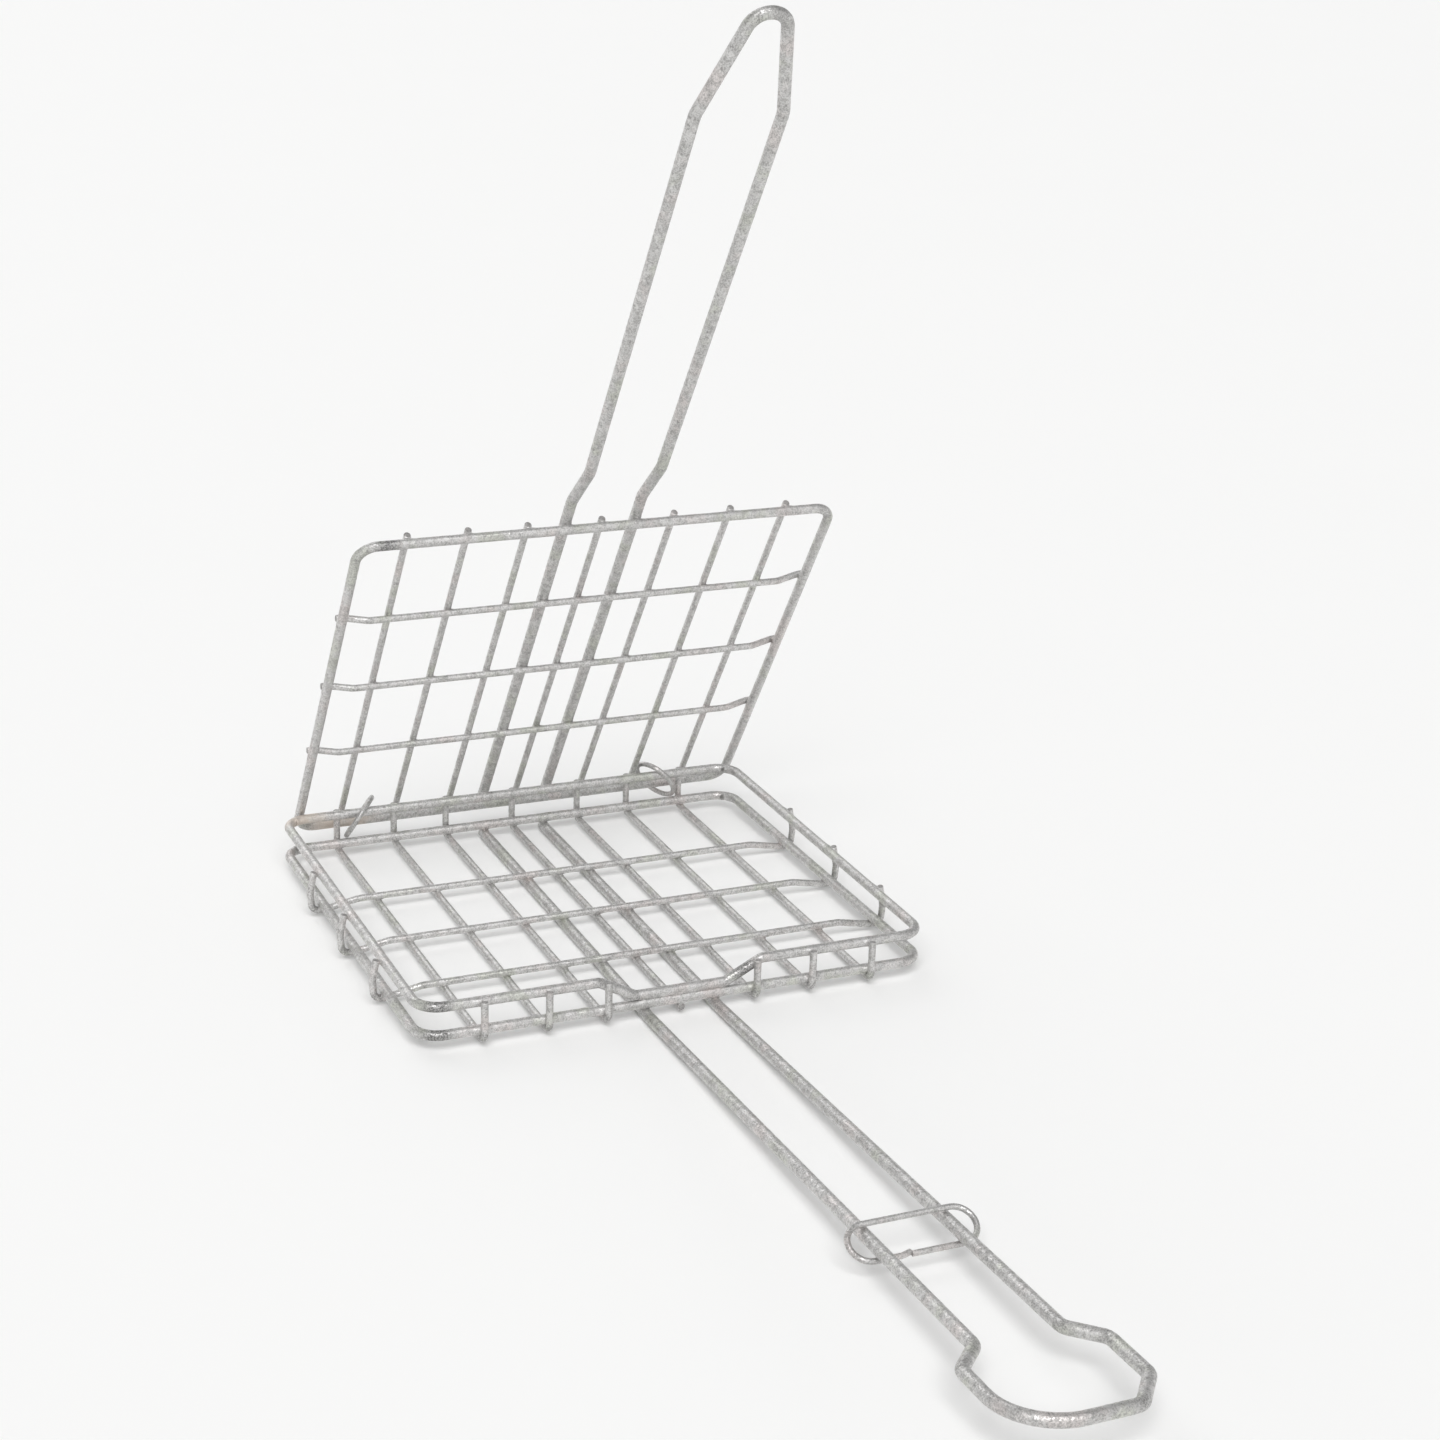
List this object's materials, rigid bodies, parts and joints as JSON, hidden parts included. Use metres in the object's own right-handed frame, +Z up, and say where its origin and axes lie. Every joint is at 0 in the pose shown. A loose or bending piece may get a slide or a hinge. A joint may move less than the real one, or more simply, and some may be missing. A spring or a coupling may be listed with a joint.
{
  "type": "sandwich grill grid",
  "caption": "Hinged wire grid for toasting sandwiches over a fire: a shallow wire basket, a wire lid, long wire handles and a sliding lock ring.",
  "frame": {"origin": "under the middle of the basket, on the surface that the grid stands on", "axes": "+Z up, -Y along the basket handle towards the hand, +X to the right seen from the handle; the lid's hinge is at +Y"},
  "size_m": [0.2466, 0.5916, 0.4316],
  "materials": {
    "frame_wire": "bright zinc plated round steel wire, faintly mottled, darker at the bends",
    "grid_wire": "bright zinc plated thin steel wire, bare dull cut ends",
    "handle_wire": "bright zinc plated thick steel wire, faint draw lines along it",
    "hinge_wire": "zinc plated wire, rubbed where the rings hang",
    "lock_wire": "zinc plated wire, rubbed on the inner side"
  },
  "bodies": {
    "basket": {"basket_bottom_frame": "frame_wire", "basket_rim_rear": "frame_wire", "basket_rim_corner_rear_right": "frame_wire", "basket_rim_right": "frame_wire", "basket_rim_corner_front_right": "frame_wire", "basket_rim_front_right": "frame_wire", "basket_rim_dip": "frame_wire", "basket_rim_front_left": "frame_wire", "basket_rim_corner_front_left": "frame_wire", "basket_rim_left": "frame_wire", "basket_rim_corner_rear_left": "frame_wire", "basket_long_wire_1": "grid_wire", "basket_long_wire_2": "grid_wire", "basket_long_wire_3": "grid_wire", "basket_long_wire_4": "grid_wire", "basket_long_wire_5": "grid_wire", "basket_long_wire_6": "grid_wire", "basket_long_wire_7": "grid_wire", "basket_cross_wire_1": "grid_wire", "basket_cross_wire_2": "grid_wire", "basket_cross_wire_3": "grid_wire", "basket_handle_floor_left": "handle_wire", "basket_handle_floor_right": "handle_wire", "basket_handle_run_left": "handle_wire", "basket_handle_run_right": "handle_wire", "basket_handle_grip": "handle_wire"},
    "hinge_ring_left": {"hinge_ring_left": "hinge_wire"},
    "hinge_ring_right": {"hinge_ring_right": "hinge_wire"},
    "lid": {"lid_frame": "frame_wire", "lid_long_wire_1": "grid_wire", "lid_long_wire_2": "grid_wire", "lid_long_wire_3": "grid_wire", "lid_long_wire_4": "grid_wire", "lid_long_wire_5": "grid_wire", "lid_long_wire_6": "grid_wire", "lid_long_wire_7": "grid_wire", "lid_cross_wire_1": "grid_wire", "lid_cross_wire_2": "grid_wire", "lid_cross_wire_3": "grid_wire", "lid_handle": "handle_wire"},
    "lock_ring": {"lock_ring": "lock_wire"}
  },
  "joints": [
    {"name": "left_ring_turn", "type": "hinge", "parent": "basket", "child": "hinge_ring_left", "pos_m": [-0.0788, 0.1091, 0.0224], "axis": [1, 0, 0], "range_deg": [0, 56.4]},
    {"name": "right_ring_turn", "type": "hinge", "parent": "basket", "child": "hinge_ring_right", "pos_m": [0.0788, 0.1091, 0.0224], "axis": [1, 0, 0], "range_deg": [0, 56.4]},
    {"name": "lid_turn", "type": "hinge", "parent": "hinge_ring_left", "child": "lid", "pos_m": [0.005, 0.12079, 0.01348], "axis": [-1, 0, 0], "range_deg": [0, 113]},
    {"name": "lock_slide", "type": "slide", "parent": "basket", "child": "lock_ring", "axis": [0, 0.9991, -0.0419], "range_m": [-0.07, 0.19]}
  ],
  "couplings": [
    {"joint": "right_ring_turn", "follows": "left_ring_turn", "ratio": 1}
  ]
}
